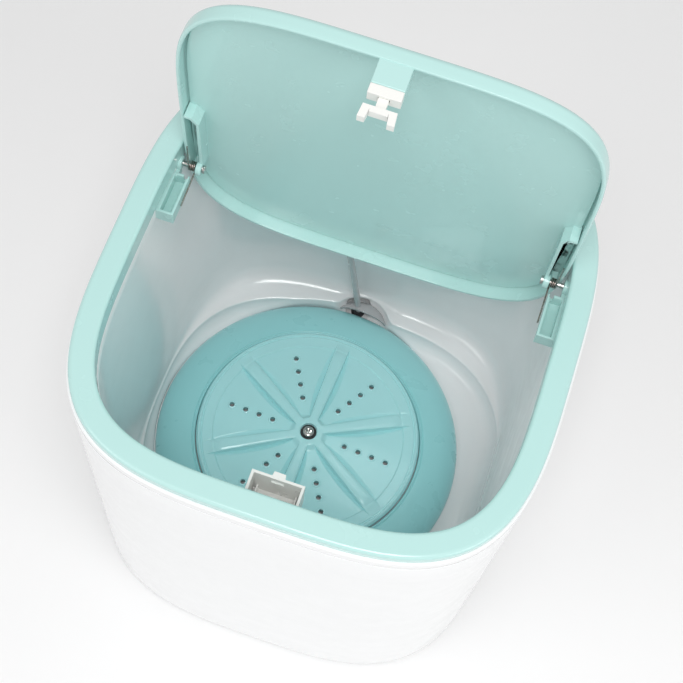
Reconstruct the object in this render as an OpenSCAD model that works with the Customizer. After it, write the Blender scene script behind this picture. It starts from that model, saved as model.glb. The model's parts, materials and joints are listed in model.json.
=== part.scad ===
// Portable mini washer with a flip-up lid, a round pulsator and a lift-rod drain.
// Millimetres, +Z up, front towards -Y. The origin is on the floor under the middle of the body.

/* [Body] */
// Height of the rim's top face above the floor
body_h = 276; // [270:1:290]
// Half width of the outer shell at its top
shell_half_w = 131.6; // [130:0.2:134]
// Half depth of the outer shell at its top
shell_half_d = 134.7; // [133:0.2:138]
// How much narrower each side of the shell is at the floor
shell_draft = 0.8; // [0:0.1:2]
// Wall thickness of the outer shell
shell_wall = 2.5; // [2:0.1:3]
// Height of the rubber feet
foot_h = 3; // [2:0.5:4]

/* [Rim] */
// Half width of the rim's outer edge
rim_half_w = 130; // [129:0.2:130.4]
// Half depth of the rim's outer edge
rim_half_d = 133.1; // [132:0.2:133.4]
// Width of the rim's top face
rim_face = 14.2; // [13:0.1:15]
// Depth of the rim's inner wall
rim_wall_h = 14; // [12:0.5:15]

/* [Tub] */
// Height of the tub floor inside
tub_floor = 40; // [38:0.5:42]
// Wall thickness of the tub
tub_wall = 2; // [1.6:0.1:2.2]

/* [Pulsator] */
// Offset of the pulsator's axis from the body's middle
axis_x = -8.5; // [-9:0.5:-6]
// Radius of the pulsator disc
pulsator_r = 75.3; // [72:0.1:75.4]
// Outer radius of the dome ring round the pulsator
ring_r = 103.2; // [100:0.2:103.4]
// Height of the pulsator's dish
dish_z = 60; // [59:0.5:61]
// Number of ribs, and of rows of holes
ribs = 6; // [4:1:6]

/* [Lid] */
// Half width of the lid
lid_half_w = 112.2; // [111:0.1:112.4]
// Half depth of the lid
lid_half_d = 112.8; // [112:0.1:113.2]
// Overall thickness of the lid with its skirt
lid_h = 10.6; // [10:0.1:11]
// Angle between the closed lid and the open lid
lid_open = 86; // [80:1:88]

/* [Latch] */
// Width of the touch latch
latch_w = 16.6; // [15:0.2:17]
// Travel of the latch fork
fork_travel = 5; // [4:0.5:5]

/* [Drive] */
// Radius of the drive shaft
shaft_r = 4; // [4:0.5:4]
// Pitch radius of the driven pulley
driven_r = 30; // [26:1:31]
// Pitch radius of the motor pulley
motor_pulley_r = 8; // [7:0.5:9]

/* [Drain] */
// Sideways lean of the lift rod, as a slope
rod_lean = -0.16; // [-0.18:0.01:-0.1]
// Radius of the lift rod
rod_r = 2.2; // [2:0.1:2.4]

/* [Hidden] */

white = [0.95, 0.95, 0.95];
mint = [0.82, 0.94, 0.92];
turquoise = [0.50, 0.80, 0.80];
aqua = [0.62, 0.88, 0.88];
clear_grey = [0.80, 0.82, 0.82, 0.5];
steel = [0.75, 0.75, 0.77];
dark = [0.18, 0.18, 0.20];
rubber_grey = [0.30, 0.31, 0.32];
brass = [0.78, 0.63, 0.35];
board_green = [0.10, 0.36, 0.22];

eps = 0.01;
slab = 0.02;
fine = 64;
squircle_points = 72;

// Body levels: height above the shell's bottom, and how far the wall is drawn in there
shell_corner = [[0, 10], [2, 5.6], [5, 2.6], [9, 0.7], [13, 0]];
shell_low_n = 3.2;
gusset_reach = 18;
rear_reach = 14;
vent_count = 10;
vent_r = 45;
vent_hole_r = 3;
foot_pin_r = 2.5;
wire_sides = 8;
shell_n = 3.5;
shell_top = body_h - 6;
shell_bottom = foot_h;
base_h = 3;
base_inset = 14;
screw_x = 62;
screw_y = 104;
foot_x = 88;
foot_y = 90;
foot_r = 9;
post_r = 5;
post_h = 26;
screw_r = 1.5;
small_head_r = 2.6;
small_head_h = 1.4;
base_head_r = 2.8;
base_head_h = 1.6;
base_screw_l = 14;

// Rim
rim_n = 3.55;
mouth_n = 3.9;
mouth_w = rim_half_w - rim_face;
mouth_d = rim_half_d - rim_face;
rim_wall = 1.8;
rim_edge = 2;
rim_round = 1.2;
rim_bottom = body_h - rim_wall_h;

// Tub
tub_w = mouth_w + 0.7;
tub_d = mouth_d + 0.7;
tub_top = rim_bottom - 0.8;
tub_n = 3.7;
tub_corner = [[0, 3.4], [1.2, 1.5], [3, 0.5], [6, 0.1], [16, 0]];
tub_low_n = 3.7;
seal_r = 12;
drain_hole_r = 4.2;
mesa_r = 82;
mesa_z = 50;
sump_r = 9;
sump_z = 38;
sump_y = 108.5;
sump_rim = 4.2;
plug_lip = 0.7;

// Hinge
hinge_y = 55.7;
hinge_z = body_h - 15.2;
pin_r = 1.5;
pin_clear = 0.05;
pin_fit = 0.02;
knuckle_r = 4.2;
pin_x0 = 100.6;
pin_x1 = 118.4;
lid_knuckle_x0 = 101;
lid_knuckle_x1 = 104.4;
rim_knuckle_x0 = 112.7;
rim_knuckle_x1 = 118.2;
coil_wire_r = 0.5;
coil_r = 2.5;
coil_turns = 3;
coil_pitch = 1.04;
coil_steps = 16;
coil_x0 = 105;
spring_leg = 24;
lid_pocket_y0 = 2;
lid_pocket_y1 = 63;
lid_pocket_drop = 1.4;
lid_pocket_x1 = 107.2;
lid_pocket_wall = 1.8;
rim_pocket_y0 = 22;
rim_pocket_y1 = 49;
rim_pocket_x0 = 106;
rim_pocket_top = hinge_z - 0.4;
rim_pocket_h = 9.5;

// Lid, described closed and turned open by lid_pose
lid_n = 4.3;
lid_y = 2;
lid_edge = hinge_z + 2.2;
lid_top = lid_edge + lid_h;
lid_skin = 1.6;
lid_skirt = 2.2;
liner_t = 1.4;
liner_inset = 3;

// Latch, described closed
latch_y0 = -110.2;
latch_y1 = -103.4;
latch_mid_y = (latch_y0 + latch_y1) / 2;
bracket_bottom = lid_edge - 13;
housing_bottom = lid_edge - 18.5;
fork_tip = lid_edge - 31;
fork_grip = 9;
fork_t = 4.6;
prong_w = 4;
shank_w = 5;
shank_t = 2.6;
shank_l = 8;
shank_room = 13;
fork_gap = fork_travel + 0.4;
striker_w = 6.4;
catch_slot_w = 7.2;
striker_h = 2;
pocket_half_w = 14.8;
pocket_y0 = -117.6;
pocket_y1 = -99.6;
pocket_top = 250;
pocket_floor = fork_tip - 6;
pocket_wall = 1.5;

// Pulsator
seam_gap = 0.7;
hub_r = 9;
hub_z = 64;
hub_bottom = 53;
recess_r = 5.8;
hole_r = 1.75;
hole_rows = [25.9, 35.8, 45.6, 55.5];
hole_angle = 177.5;
rib_angle = 148;
rib_w = 4.6;
rib_end = 65;

// Drive
pulley_z = 9;
pulley_h = 8;
flange_h = 1.2;
belt_t = 1.6;
belt_gap = 0.3;
shaft_bottom = 7;
shaft_top = 60;
bearing_r = 11;
bearing_h = 7;
lower_bearing_z = 19;
upper_bearing_z = 38;
bearing_gap = 0.05;
housing_r = 15;
housing_flange_r = 28;
motor_x = 30;
motor_y = -40;
motor_r = 21;
motor_z = 18;
motor_top = 45.8;
ear = 3;
bracket_d = 28;
bracket_t = mesa_z - tub_wall - motor_top - 0.1;
motor_shaft_r = 2.5;
pulsator_screw_l = 16;
housing_screw_x = 22;

// Rear panel
rear_z = 24;
button_proud = 1.6;
inlet_r = 5;
inlet_bore_r = 3.1;
inlet_pin_r = 1;
inlet_lip = 1.6;
inlet_flange = 1.2;
inlet_gap = 0.02;
lens_r = 1.9;
button_x = 40;
button_r = 7;
inlet_x = -50;
lens_x = 58;
elbow_z = 21;
spout_r = 8;
spout_bore_r = 5.6;
gasket_t = 1;

// Drain
rod_x = -7;
rod_y = 108;
rod_z = 45;
rod_angle = -atan(rod_lean);
rod_len = 160;
guide_at = 144;
cap_r = 19.5;
cap_x = -2.5;
cap_y = 94;
cap_z = 44.4;
cap_h = 6;
cap_t = 1.4;

// Control board
board_x = -72;
board_y = 62;
board_z = 14;
board_w = 56;
board_d = 34;
board_t = 1.6;

function signed_pow(v, e) = sign(v) * pow(abs(v), e);
function squircle_ring(a, b, n) = [for (i = [0:squircle_points - 1])
    let (t = 360 * i / squircle_points) [a * signed_pow(cos(t), 2 / n), b * signed_pow(sin(t), 2 / n)]];
function shell_a(z) = shell_half_w - shell_draft * (1 - z / shell_top);
function rear_face(x) = shell_b(rear_z) * pow(1 - pow(abs(x) / shell_a(rear_z), shell_low_n), 1 / shell_low_n);
function shell_b(z) = shell_half_d - (shell_draft + 2) * (1 - z / shell_top);

module squircle(a, b, n) {
    polygon(squircle_ring(a, b, n));
}

// A convex body through level slices [z, half width, half depth, exponent]
module loft(levels) {
    hull() for (l = levels)
        translate([0, 0, l[0]]) linear_extrude(slab) squircle(l[1], l[2], l[3]);
}

module tube(r_out, r_in, h) {
    difference() {
        cylinder(r = r_out, h = h, $fn = fine);
        translate([0, 0, -1]) cylinder(r = r_in, h = h + 2, $fn = fine);
    }
}

// Turns the closed lid's parts about the hinge pins into the open pose
module lid_pose() {
    translate([0, hinge_y, hinge_z]) rotate([-lid_open, 0, 0]) translate([0, -hinge_y, -hinge_z]) children();
}

module on_axis() {
    translate([axis_x, 0, 0]) children();
}

module both_sides() {
    children();
    mirror([1, 0, 0]) children();
}

module at_corners(x, y) {
    for (sx = [-1, 1], sy = [-1, 1]) translate([sx * x, sy * y, 0]) children();
}

module along_x(x0, x1, y, z, r) {
    translate([x0, y, z]) rotate([0, 90, 0]) cylinder(r = r, h = x1 - x0, $fn = fine);
}

module rod_pose() {
    translate([rod_x, rod_y, rod_z]) rotate([0, -rod_angle, 0]) children();
}

// A round wire swept along points, with its rings squared up to the given axis
function unit(v) = v / norm(v);
function tangent(p, i) = unit(p[min(i + 1, len(p) - 1)] - p[max(i - 1, 0)]);
function wire_ring(c, t, axis, r) = let (n = unit(cross(t, axis)), b = cross(t, n))
    [for (k = [0:wire_sides - 1]) let (a = 360 * k / wire_sides) c + r * (cos(a) * n + sin(a) * b)];

module wire(path, axis, r) {
    last = len(path) - 1;
    points = [for (i = [0:last]) each wire_ring(path[i], tangent(path, i), axis, r)];
    sides = [for (i = [0:last - 1], k = [0:wire_sides - 1])
        let (a = i * wire_sides + k, b = i * wire_sides + (k + 1) % wire_sides)
        each [[a, b, b + wire_sides], [a, b + wire_sides, a + wire_sides]]];
    start = [for (k = [0:wire_sides - 1]) wire_sides - 1 - k];
    end = [for (k = [0:wire_sides - 1]) last * wire_sides + k];
    polyhedron(points, concat(sides, [start, end]));
}

function coil(r, pitch, turns, steps) =
    [for (i = [0:turns * steps]) let (a = 360 * i / steps) [r * cos(a), r * sin(a), pitch * i / steps]];

// ---- Body ----

module shell_form(inset) {
    loft(concat([for (c = shell_corner) let (z = shell_bottom + c[0])
        [z, shell_a(z) - c[1] - inset, shell_b(z) - c[1] - inset, shell_low_n]],
        [[shell_top - slab, shell_half_w - inset, shell_half_d - inset, shell_n]]));
}

module rear_hole(x, z, r) {
    translate([x, shell_half_d - rear_reach, z]) rotate([-90, 0, 0]) cylinder(r = r, h = 2 * rear_reach, $fn = fine);
}

module outer_shell() {
    post_z = shell_bottom + base_h;
    color(white) {
        difference() {
            shell_form(0);
            translate([0, 0, -eps]) shell_form(shell_wall);
            translate([0, 0, shell_top - 1]) linear_extrude(2)
                squircle(shell_half_w - shell_wall, shell_half_d - shell_wall, shell_n);
            rear_hole(button_x, rear_z, button_r + 0.4);
            rear_hole(inlet_x, rear_z, inlet_r + 0.1);
            rear_hole(lens_x, rear_z, lens_r + 0.1);
            rear_hole(rod_x, elbow_z, spout_r + 3);
        }
        at_corners(screw_x, screw_y) translate([0, 0, post_z]) tube(post_r, screw_r, post_h);
        for (sx = [0, 1], sy = [0, 1]) mirror([sx, 0, 0]) mirror([0, sy, 0])
            translate([screw_x - 1, screw_y + post_r - 1, post_z + 8]) cube([2, gusset_reach, post_h - 8]);
    }
}

module base_plate() {
    plate_w = shell_half_w - shell_draft - base_inset;
    plate_d = shell_half_d - shell_draft - base_inset - 2;
    color(white) difference() {
        union() {
            translate([0, 0, shell_bottom]) linear_extrude(base_h - 0.1) squircle(plate_w, plate_d, shell_low_n);
            translate([board_x, board_y, shell_bottom]) board_holes() tube(3, screw_r, board_z - shell_bottom);
        }
        at_corners(screw_x, screw_y) translate([0, 0, -1]) cylinder(r = screw_r + 0.3, h = 20, $fn = fine);
        at_corners(foot_x, foot_y) translate([0, 0, -1]) cylinder(r = foot_pin_r, h = 20, $fn = fine);
        translate([axis_x, 0, -1]) for (i = [0:vent_count - 1]) rotate([0, 0, 360 * i / vent_count])
            translate([vent_r, 0, 0]) cylinder(r = vent_hole_r, h = 20, $fn = fine);
    }
}

module feet() {
    color(rubber_grey) at_corners(foot_x, foot_y) {
        cylinder(r = foot_r, h = foot_h, $fn = fine);
        cylinder(r = foot_pin_r, h = foot_h + base_h + 0.6, $fn = fine);
        translate([0, 0, foot_h + base_h]) cylinder(r1 = foot_pin_r + 0.8, r2 = foot_pin_r - 0.5, h = 2, $fn = fine);
    }
}

module pan_screw(r, head_r, head_h, length) {
    difference() {
        union() {
            cylinder(r = r, h = length, $fn = fine);
            translate([0, 0, length]) cylinder(r1 = head_r, r2 = head_r * 0.7, h = head_h, $fn = fine);
        }
        for (a = [0, 90]) rotate([0, 0, a]) translate([-head_r * 0.55, -head_r * 0.12, length + head_h * 0.4])
            cube([head_r * 1.1, head_r * 0.24, head_h]);
    }
}

module base_screws() {
    color(steel) at_corners(screw_x, screw_y) translate([0, 0, shell_bottom + base_screw_l]) mirror([0, 0, 1])
        pan_screw(screw_r, base_head_r, base_head_h, base_screw_l);
}

// ---- Tub ----

module tub_form(extra) {
    loft(concat([for (c = tub_corner)
        [tub_floor + c[0] - extra, tub_w - c[1] + extra, tub_d - c[1] + extra, tub_low_n]],
        [[tub_top - slab, tub_w + extra, tub_d + extra, tub_n]]));
}

module knuckle_notch() {
    both_sides() along_x(110, 121, hinge_y, hinge_z, knuckle_r + 0.4);
}

module tub() {
    color(white) difference() {
        union() {
            difference() {
                tub_form(tub_wall);
                tub_form(0);
                translate([0, 0, tub_top - 1]) linear_extrude(2) squircle(tub_w, tub_d, tub_n);
            }
            on_axis() translate([0, 0, tub_floor - tub_wall])
                cylinder(r = mesa_r, h = mesa_z - tub_floor + tub_wall, $fn = fine);
            translate([rod_x, sump_y, sump_z - tub_wall]) cylinder(r = sump_r + tub_wall, h = sump_rim, $fn = fine);
        }
        on_axis() translate([0, 0, tub_floor - tub_wall - 1])
            cylinder(r = mesa_r - tub_wall, h = mesa_z - tub_floor + 1, $fn = fine);
        on_axis() cylinder(r = seal_r, h = body_h / 2, $fn = fine);
        translate([rod_x, sump_y, sump_z]) cylinder(r = sump_r, h = 16, $fn = fine);
        translate([rod_x, sump_y, sump_z - 5]) cylinder(r = drain_hole_r, h = 16, $fn = fine);
        knuckle_notch();
    }
}

module tub_gasket() {
    color(rubber_grey) difference() {
        translate([0, 0, tub_top]) linear_extrude(rim_bottom - tub_top) difference() {
            squircle(tub_w + tub_wall, tub_d + tub_wall, tub_n);
            squircle(tub_w + 0.3, tub_d + 0.3, tub_n);
        }
        knuckle_notch();
    }
}

// ---- Rim ----

module rim_frame() {
    color(mint) difference() {
        union() {
            rim_band();
            both_sides() along_x(rim_knuckle_x0, rim_knuckle_x1, hinge_y, hinge_z, knuckle_r);
            both_sides() rim_pocket();
        }
        both_sides() along_x(rim_knuckle_x0 - 1, pin_x1, hinge_y, hinge_z, pin_r + pin_fit);
    }
}

// The rim's face, outer edge and inner wall
module rim_band() {
    difference() {
        union() {
            translate([0, 0, shell_top + 0.1]) linear_extrude(body_h - rim_round - shell_top - 0.1)
                squircle(rim_half_w, rim_half_d, rim_n);
            loft([[body_h - rim_round, rim_half_w, rim_half_d, rim_n],
                [body_h - slab, rim_half_w - rim_round, rim_half_d - rim_round, rim_n]]);
            translate([0, 0, rim_bottom]) linear_extrude(rim_wall_h - 1)
                squircle(mouth_w + rim_wall, mouth_d + rim_wall, mouth_n);
        }
        translate([0, 0, rim_bottom - 1]) linear_extrude(rim_wall_h + 1 - rim_edge) difference() {
            squircle(rim_half_w - rim_edge, rim_half_d - rim_edge, rim_n);
            squircle(mouth_w + rim_wall, mouth_d + rim_wall, mouth_n);
        }
        translate([0, 0, rim_bottom - 1]) linear_extrude(rim_wall_h + 2) squircle(mouth_w, mouth_d, mouth_n);
    }
}

// Open-topped channel under the rim that holds the hinge spring's lower leg
module rim_pocket() {
    z0 = rim_pocket_top - rim_pocket_h;
    len_y = rim_pocket_y1 - rim_pocket_y0;
    difference() {
        intersection() {
            union() {
                translate([rim_pocket_x0, rim_pocket_y0, z0]) cube([20, len_y, rim_pocket_h]);
                translate([mouth_w - 2.2, rim_pocket_y0, z0 + 4]) cube([5, len_y, rim_bottom - 2 - z0]);
            }
            union() {
                linear_extrude(rim_bottom - 0.1) squircle(tub_w - 0.3, tub_d - 0.3, tub_n);
                linear_extrude(body_h) squircle(mouth_w + 0.4, mouth_d + 0.4, mouth_n);
            }
        }
        translate([rim_pocket_x0 + pocket_wall, rim_pocket_y0 + pocket_wall, z0 + pocket_wall])
            cube([mouth_w - rim_pocket_x0 - 4.4, len_y - 2 * pocket_wall, 20]);
    }
}

// Open-topped box behind the rim's front edge, with the post that the latch fork grips
module catch_pocket() {
    inner_w = pocket_half_w - pocket_wall;
    depth = pocket_y1 - pocket_y0;
    post_h = fork_tip + striker_h - pocket_floor;
    color(white) intersection() {
        union() {
            difference() {
                translate([-pocket_half_w, pocket_y0, pocket_floor - pocket_wall])
                    cube([2 * pocket_half_w, depth, pocket_top - pocket_floor + pocket_wall]);
                translate([-inner_w, pocket_y0 + pocket_wall, pocket_floor])
                    cube([2 * inner_w, depth - 2 * pocket_wall, 60]);
                translate([-catch_slot_w / 2, pocket_y1 - pocket_wall - 1, pocket_top - 7])
                    cube([catch_slot_w, 4, 4]);
            }
            translate([-striker_w / 2, latch_mid_y - 1.6, pocket_floor - eps]) cube([striker_w, 3.2, post_h]);
        }
        linear_extrude(body_h) squircle(tub_w - 0.1, tub_d - 0.1, tub_n);
    }
}

// ---- Lid ----

module lid_form(inset, drop, top) {
    side_z = lid_edge - drop;
    translate([0, 0, side_z]) linear_extrude(lid_top - top - 2.4 - side_z)
        squircle(lid_half_w - inset, lid_half_d - inset, lid_n);
    loft([[lid_top - top - 2.4, lid_half_w - inset, lid_half_d - inset, lid_n],
        [lid_top - top - 0.8, lid_half_w - inset - 0.8, lid_half_d - inset - 0.8, lid_n],
        [lid_top - top - slab, lid_half_w - inset - 2.6, lid_half_d - inset - 2.6, lid_n]]);
}

module lid_cover() {
    color(mint) lid_pose() translate([0, lid_y, 0]) difference() {
        lid_form(0, 0, 0);
        lid_form(lid_skirt, 1, lid_skin);
    }
}

module lid_liner() {
    liner_z = lid_top - lid_skin - liner_t;
    color(mint) lid_pose() {
        translate([0, lid_y, liner_z]) linear_extrude(liner_t - 0.1)
            squircle(lid_half_w - lid_skirt - liner_inset, lid_half_d - lid_skirt - liner_inset, lid_n);
        both_sides() lid_pocket(liner_z);
    }
}

// Walled recess under the lid that the hinge pin and spring sit in
module lid_pocket(liner_z) {
    z0 = lid_edge - lid_pocket_drop;
    h = liner_z - z0 + eps;
    x0 = lid_knuckle_x0;
    x1 = lid_pocket_x1;
    y0 = lid_pocket_y0;
    y1 = lid_pocket_y1;
    w = lid_pocket_wall;
    difference() {
        union() {
            translate([0, 0, z0]) linear_extrude(h)
                polygon([[x1, y0], [x0 + 4, y0], [x0, y0 + 5], [x0, y1 - 6], [x0 + 3, y1], [x1, y1]]);
            along_x(x0, lid_knuckle_x1, hinge_y, hinge_z, knuckle_r);
        }
        difference() {
            translate([0, 0, z0 - 1]) linear_extrude(h + 0.5) polygon([[x1 + 1, y0 + w], [x0 + 4.7, y0 + w],
                [x0 + w, y0 + 5.6], [x0 + w, y1 - 6.6], [x0 + 3.6, y1 - w], [x1 + 1, y1 - w]]);
            along_x(x0, lid_knuckle_x1, hinge_y, hinge_z, knuckle_r);
        }
        along_x(x0 - 1, lid_knuckle_x1 + 1, hinge_y, hinge_z, pin_r + pin_clear);
    }
}

module hinge_pin() {
    along_x(pin_x0, pin_x1, hinge_y, hinge_z, pin_r);
    along_x(pin_x0 - 1.2, pin_x0, hinge_y, hinge_z, pin_r + 0.9);
}

module hinge_pin_right() {
    color(steel) hinge_pin();
}

module hinge_pin_left() {
    color(steel) mirror([1, 0, 0]) hinge_pin();
}

// Torsion spring on the hinge pin: its lower leg lies in the rim's channel and its upper leg in the lid's recess
module hinge_spring() {
    turns = [for (p = coil(coil_r, coil_pitch, coil_turns, coil_steps)) [p[2], -p[1], -p[0]]];
    end_x = coil_pitch * coil_turns;
    lower = [for (t = [1:-0.25:0.25]) [0, -spring_leg * t, -coil_r - 2.6 * t]];
    upper = [for (t = [0.25:0.25:1]) [end_x, -coil_r - 0.6 * t, spring_leg * t]];
    arc = [for (a = [22.5:22.5:90]) [end_x, -coil_r * sin(a), -coil_r * cos(a)]];
    translate([coil_x0, hinge_y, hinge_z]) wire(concat(lower, turns, arc, upper), [1, 0, 0], coil_wire_r);
}

module hinge_spring_right() {
    color(steel) hinge_spring();
}

module hinge_spring_left() {
    color(steel) mirror([1, 0, 0]) hinge_spring();
}

// ---- Touch latch ----

module latch_block(x, z0, z1) {
    translate([-x, latch_y0, z0]) cube([2 * x, latch_y1 - latch_y0, z1 - z0]);
}

module latch_bracket() {
    top = lid_top - lid_skin - liner_t - 0.1;
    color(mint) lid_pose() difference() {
        union() {
            latch_block(latch_w / 2, bracket_bottom, lid_edge - 0.4);
            translate([-latch_w / 2, latch_y0 + 2.2, lid_edge - 1])
                cube([latch_w, latch_y1 - latch_y0 - 2.2, top - lid_edge + 1]);
        }
        translate([-latch_w / 2 + 1.5, latch_y0 + 1.2, bracket_bottom - 1])
            cube([latch_w - 3, latch_y1 - latch_y0 - 2.4, 11]);
    }
}

module latch_housing() {
    w = latch_w - 0.2;
    color(white) lid_pose() difference() {
        union() {
            translate([-w / 2, latch_y0 + 0.2, housing_bottom])
                cube([w, latch_y1 - latch_y0 - 0.4, bracket_bottom - housing_bottom - 0.1]);
            translate([-w / 2 + 1.6, latch_y0 + 1.4, bracket_bottom - 0.2])
                cube([w - 3.2, latch_y1 - latch_y0 - 2.8, 9]);
        }
        translate([-shank_w / 2 - 0.3, latch_mid_y - shank_t / 2 - 0.3, housing_bottom - 1])
            cube([shank_w + 0.6, shank_t + 0.6, shank_room + 1]);
    }
}

module latch_fork() {
    top = housing_bottom - fork_gap;
    grip_top = fork_tip + 5.5;
    half = latch_w / 2;
    color(white) lid_pose() {
        translate([-shank_w / 2, latch_mid_y - shank_t / 2, top - eps]) cube([shank_w, shank_t, shank_l]);
        translate([0, latch_mid_y + fork_t / 2, 0]) rotate([90, 0, 0]) linear_extrude(fork_t)
            polygon([[-half, top], [-half, grip_top + 1], [-half - 0.6, fork_tip], [-half + prong_w - 1, fork_tip],
                [-fork_grip / 2, grip_top], [-fork_grip / 2, top - 3.2], [fork_grip / 2, top - 3.2],
                [fork_grip / 2, grip_top], [half - prong_w + 1, fork_tip], [half + 0.6, fork_tip],
                [half, grip_top + 1], [half, top]]);
    }
}

module latch_spring() {
    room = shank_room - (shank_l - fork_gap) - 1.4;
    color(steel) lid_pose() translate([0, latch_mid_y, housing_bottom + shank_room - room - 0.7])
        wire(coil(0.9, room / 5, 5, 12), [0, 0, 1], 0.25);
}

// ---- Pulsator ----

module pulsator() {
    color(aqua) on_axis() difference() {
        union() {
            rotate_extrude($fn = fine) polygon([[hub_r - 1, hub_bottom], [shaft_r + 0.02, hub_bottom],
                [shaft_r + 0.02, hub_bottom + 1], [shaft_r + 0.02, shaft_top], [screw_r + 0.6, shaft_top],
                [screw_r + 0.6, hub_z - 2.4], [recess_r, hub_z - 2.4], [recess_r, hub_z], [hub_r, hub_z],
                [hub_r + 3, dish_z + 1], [pulsator_r - 12, dish_z - 1], [pulsator_r - 11, dish_z - 0.2],
                [pulsator_r - 4, dish_z - 0.4], [pulsator_r - 1, dish_z - 2], [pulsator_r, dish_z - 4],
                [pulsator_r, dish_z - 6], [pulsator_r - 2, dish_z - 6], [pulsator_r - 3, dish_z - 3.4],
                [pulsator_r - 12, dish_z - 3.6], [hub_r + 3, dish_z - 1.4], [hub_r - 1, dish_z - 1.6]]);
            for (i = [0:ribs - 1]) rotate([0, 0, rib_angle - 60 * i]) rib();
        }
        for (i = [0:ribs - 1], r = hole_rows) rotate([0, 0, hole_angle - 60 * i]) translate([r, 0, dish_z - 8])
            cylinder(r = hole_r, h = 12, $fn = fine);
    }
}

module rib() {
    translate([0, rib_w / 2, 0]) rotate([90, 0, 0]) linear_extrude(rib_w)
        polygon([[hub_r - 2, dish_z - 1], [hub_r - 2, hub_z - 0.2], [rib_end - 8, hub_z - 1.6],
            [rib_end, dish_z - 0.6], [rib_end, dish_z - 2.4]]);
}

module pulsator_washer() {
    color(steel) on_axis() translate([0, 0, hub_z - 2.4]) tube(recess_r - 0.4, screw_r + 0.7, 0.8);
}

module pulsator_screw() {
    color(steel) on_axis() translate([0, 0, hub_z - 1.6 - pulsator_screw_l])
        pan_screw(screw_r + 0.5, 3.9, 2, pulsator_screw_l);
}

module pulsator_ring() {
    inner = pulsator_r + seam_gap;
    color(turquoise) on_axis() rotate_extrude($fn = 2 * fine) polygon([[inner, mesa_z + 0.2], [inner, dish_z - 4.6],
        [inner + 1.4, dish_z - 4.2], [inner + 8, dish_z - 4.8], [inner + 16, dish_z - 7.4], [inner + 22, dish_z - 11],
        [ring_r - 0.8, dish_z - 16], [ring_r, tub_floor + 1], [ring_r - 2.2, tub_floor + 0.2],
        [ring_r - 3, dish_z - 16.4], [inner + 20, dish_z - 12.4], [inner + 14, dish_z - 9.2],
        [inner + 6, dish_z - 7], [inner + 2, dish_z - 6.8], [inner + 2, mesa_z + 0.2]]);
}

// ---- Drive ----

module pulley(r, bore) {
    difference() {
        rotate_extrude($fn = fine) polygon([[bore, 0], [r + 1.6, 0], [r + 1.6, flange_h], [r - belt_t, flange_h + 0.8],
            [r - belt_t, pulley_h - flange_h - 0.8], [r + 1.6, pulley_h - flange_h], [r + 1.6, pulley_h],
            [bore, pulley_h]]);
        if (r > 20) for (i = [0:5]) rotate([0, 0, 60 * i]) translate([r * 0.58, 0, -1])
            cylinder(r = r * 0.16, h = 20, $fn = fine);
    }
}

module drive_shaft() {
    color(steel) on_axis() difference() {
        translate([0, 0, shaft_bottom]) cylinder(r = shaft_r, h = shaft_top - shaft_bottom, $fn = fine);
        translate([0, 0, hub_z - 2 - pulsator_screw_l]) cylinder(r = screw_r + 0.5, h = 30, $fn = fine);
    }
}

module driven_pulley() {
    color(dark) on_axis() translate([0, 0, pulley_z]) pulley(driven_r, shaft_r + 0.02);
}

module motor_pulley() {
    color(dark) translate([motor_x, motor_y, pulley_z]) pulley(motor_pulley_r, motor_shaft_r + 0.02);
}

module motor_shaft() {
    color(steel) translate([motor_x, motor_y, shaft_bottom]) cylinder(r = motor_shaft_r, h = 18, $fn = fine);
}

module belt_outline(extra) {
    hull() {
        translate([axis_x, 0]) circle(r = driven_r - belt_t + belt_gap + extra, $fn = fine);
        translate([motor_x, motor_y]) circle(r = motor_pulley_r - belt_t + belt_gap + extra, $fn = fine);
    }
}

module drive_belt() {
    color(rubber_grey) translate([0, 0, pulley_z + flange_h + 1.2])
        linear_extrude(pulley_h - 2 * flange_h - 2.4) difference() {
            belt_outline(belt_t);
            belt_outline(0);
        }
}

module motor_body() {
    color(steel) translate([motor_x, motor_y, 0]) difference() {
        union() {
            translate([0, 0, motor_z + 2]) cylinder(r = motor_r, h = motor_top - motor_z - 2, $fn = fine);
            translate([0, 0, motor_z]) cylinder(r = motor_shaft_r + 4, h = 3, $fn = fine);
        }
        translate([0, 0, motor_z - 1]) cylinder(r = motor_shaft_r + bearing_gap, h = 9, $fn = fine);
    }
}

// Places parts on top of the motor, with X across the line to the pulsator's axis
module on_motor() {
    translate([motor_x, motor_y, motor_top]) rotate([0, 0, 90 + atan2(motor_y, motor_x - axis_x)]) children();
}

module at_ears() {
    for (s = [-1, 1]) translate([s * (motor_r + ear), 0, 0]) children();
}

module motor_bracket() {
    plate_w = 2 * (motor_r + 2 * ear);
    color(steel) on_motor() difference() {
        translate([-plate_w / 2, -bracket_d / 2, 0]) cube([plate_w, bracket_d, bracket_t]);
        at_ears() translate([0, 0, -1]) cylinder(r = screw_r + 0.1, h = 20, $fn = fine);
    }
}

module motor_screws() {
    color(steel) on_motor() at_ears() translate([0, 0, bracket_t - 0.1]) mirror([0, 0, 1])
        pan_screw(screw_r, small_head_r, small_head_h, bracket_t - 0.1);
}

module bearing_housing() {
    top = mesa_z - tub_wall;
    color(white) on_axis() difference() {
        rotate_extrude($fn = fine) polygon([[bearing_r, lower_bearing_z - 1], [housing_r, lower_bearing_z - 1],
            [housing_r, top - 4], [housing_flange_r, top - 2.2], [housing_flange_r, top - 0.1],
            [bearing_r, top - 0.1], [bearing_r, upper_bearing_z], [bearing_r - 2, upper_bearing_z - 0.2],
            [bearing_r - 2, lower_bearing_z + bearing_h + 0.2], [bearing_r, lower_bearing_z + bearing_h]]);
        for (i = [0:3]) rotate([0, 0, 45 + 90 * i]) translate([housing_screw_x, 0, 0])
            cylinder(r = screw_r, h = 80, $fn = fine);
    }
}

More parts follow.
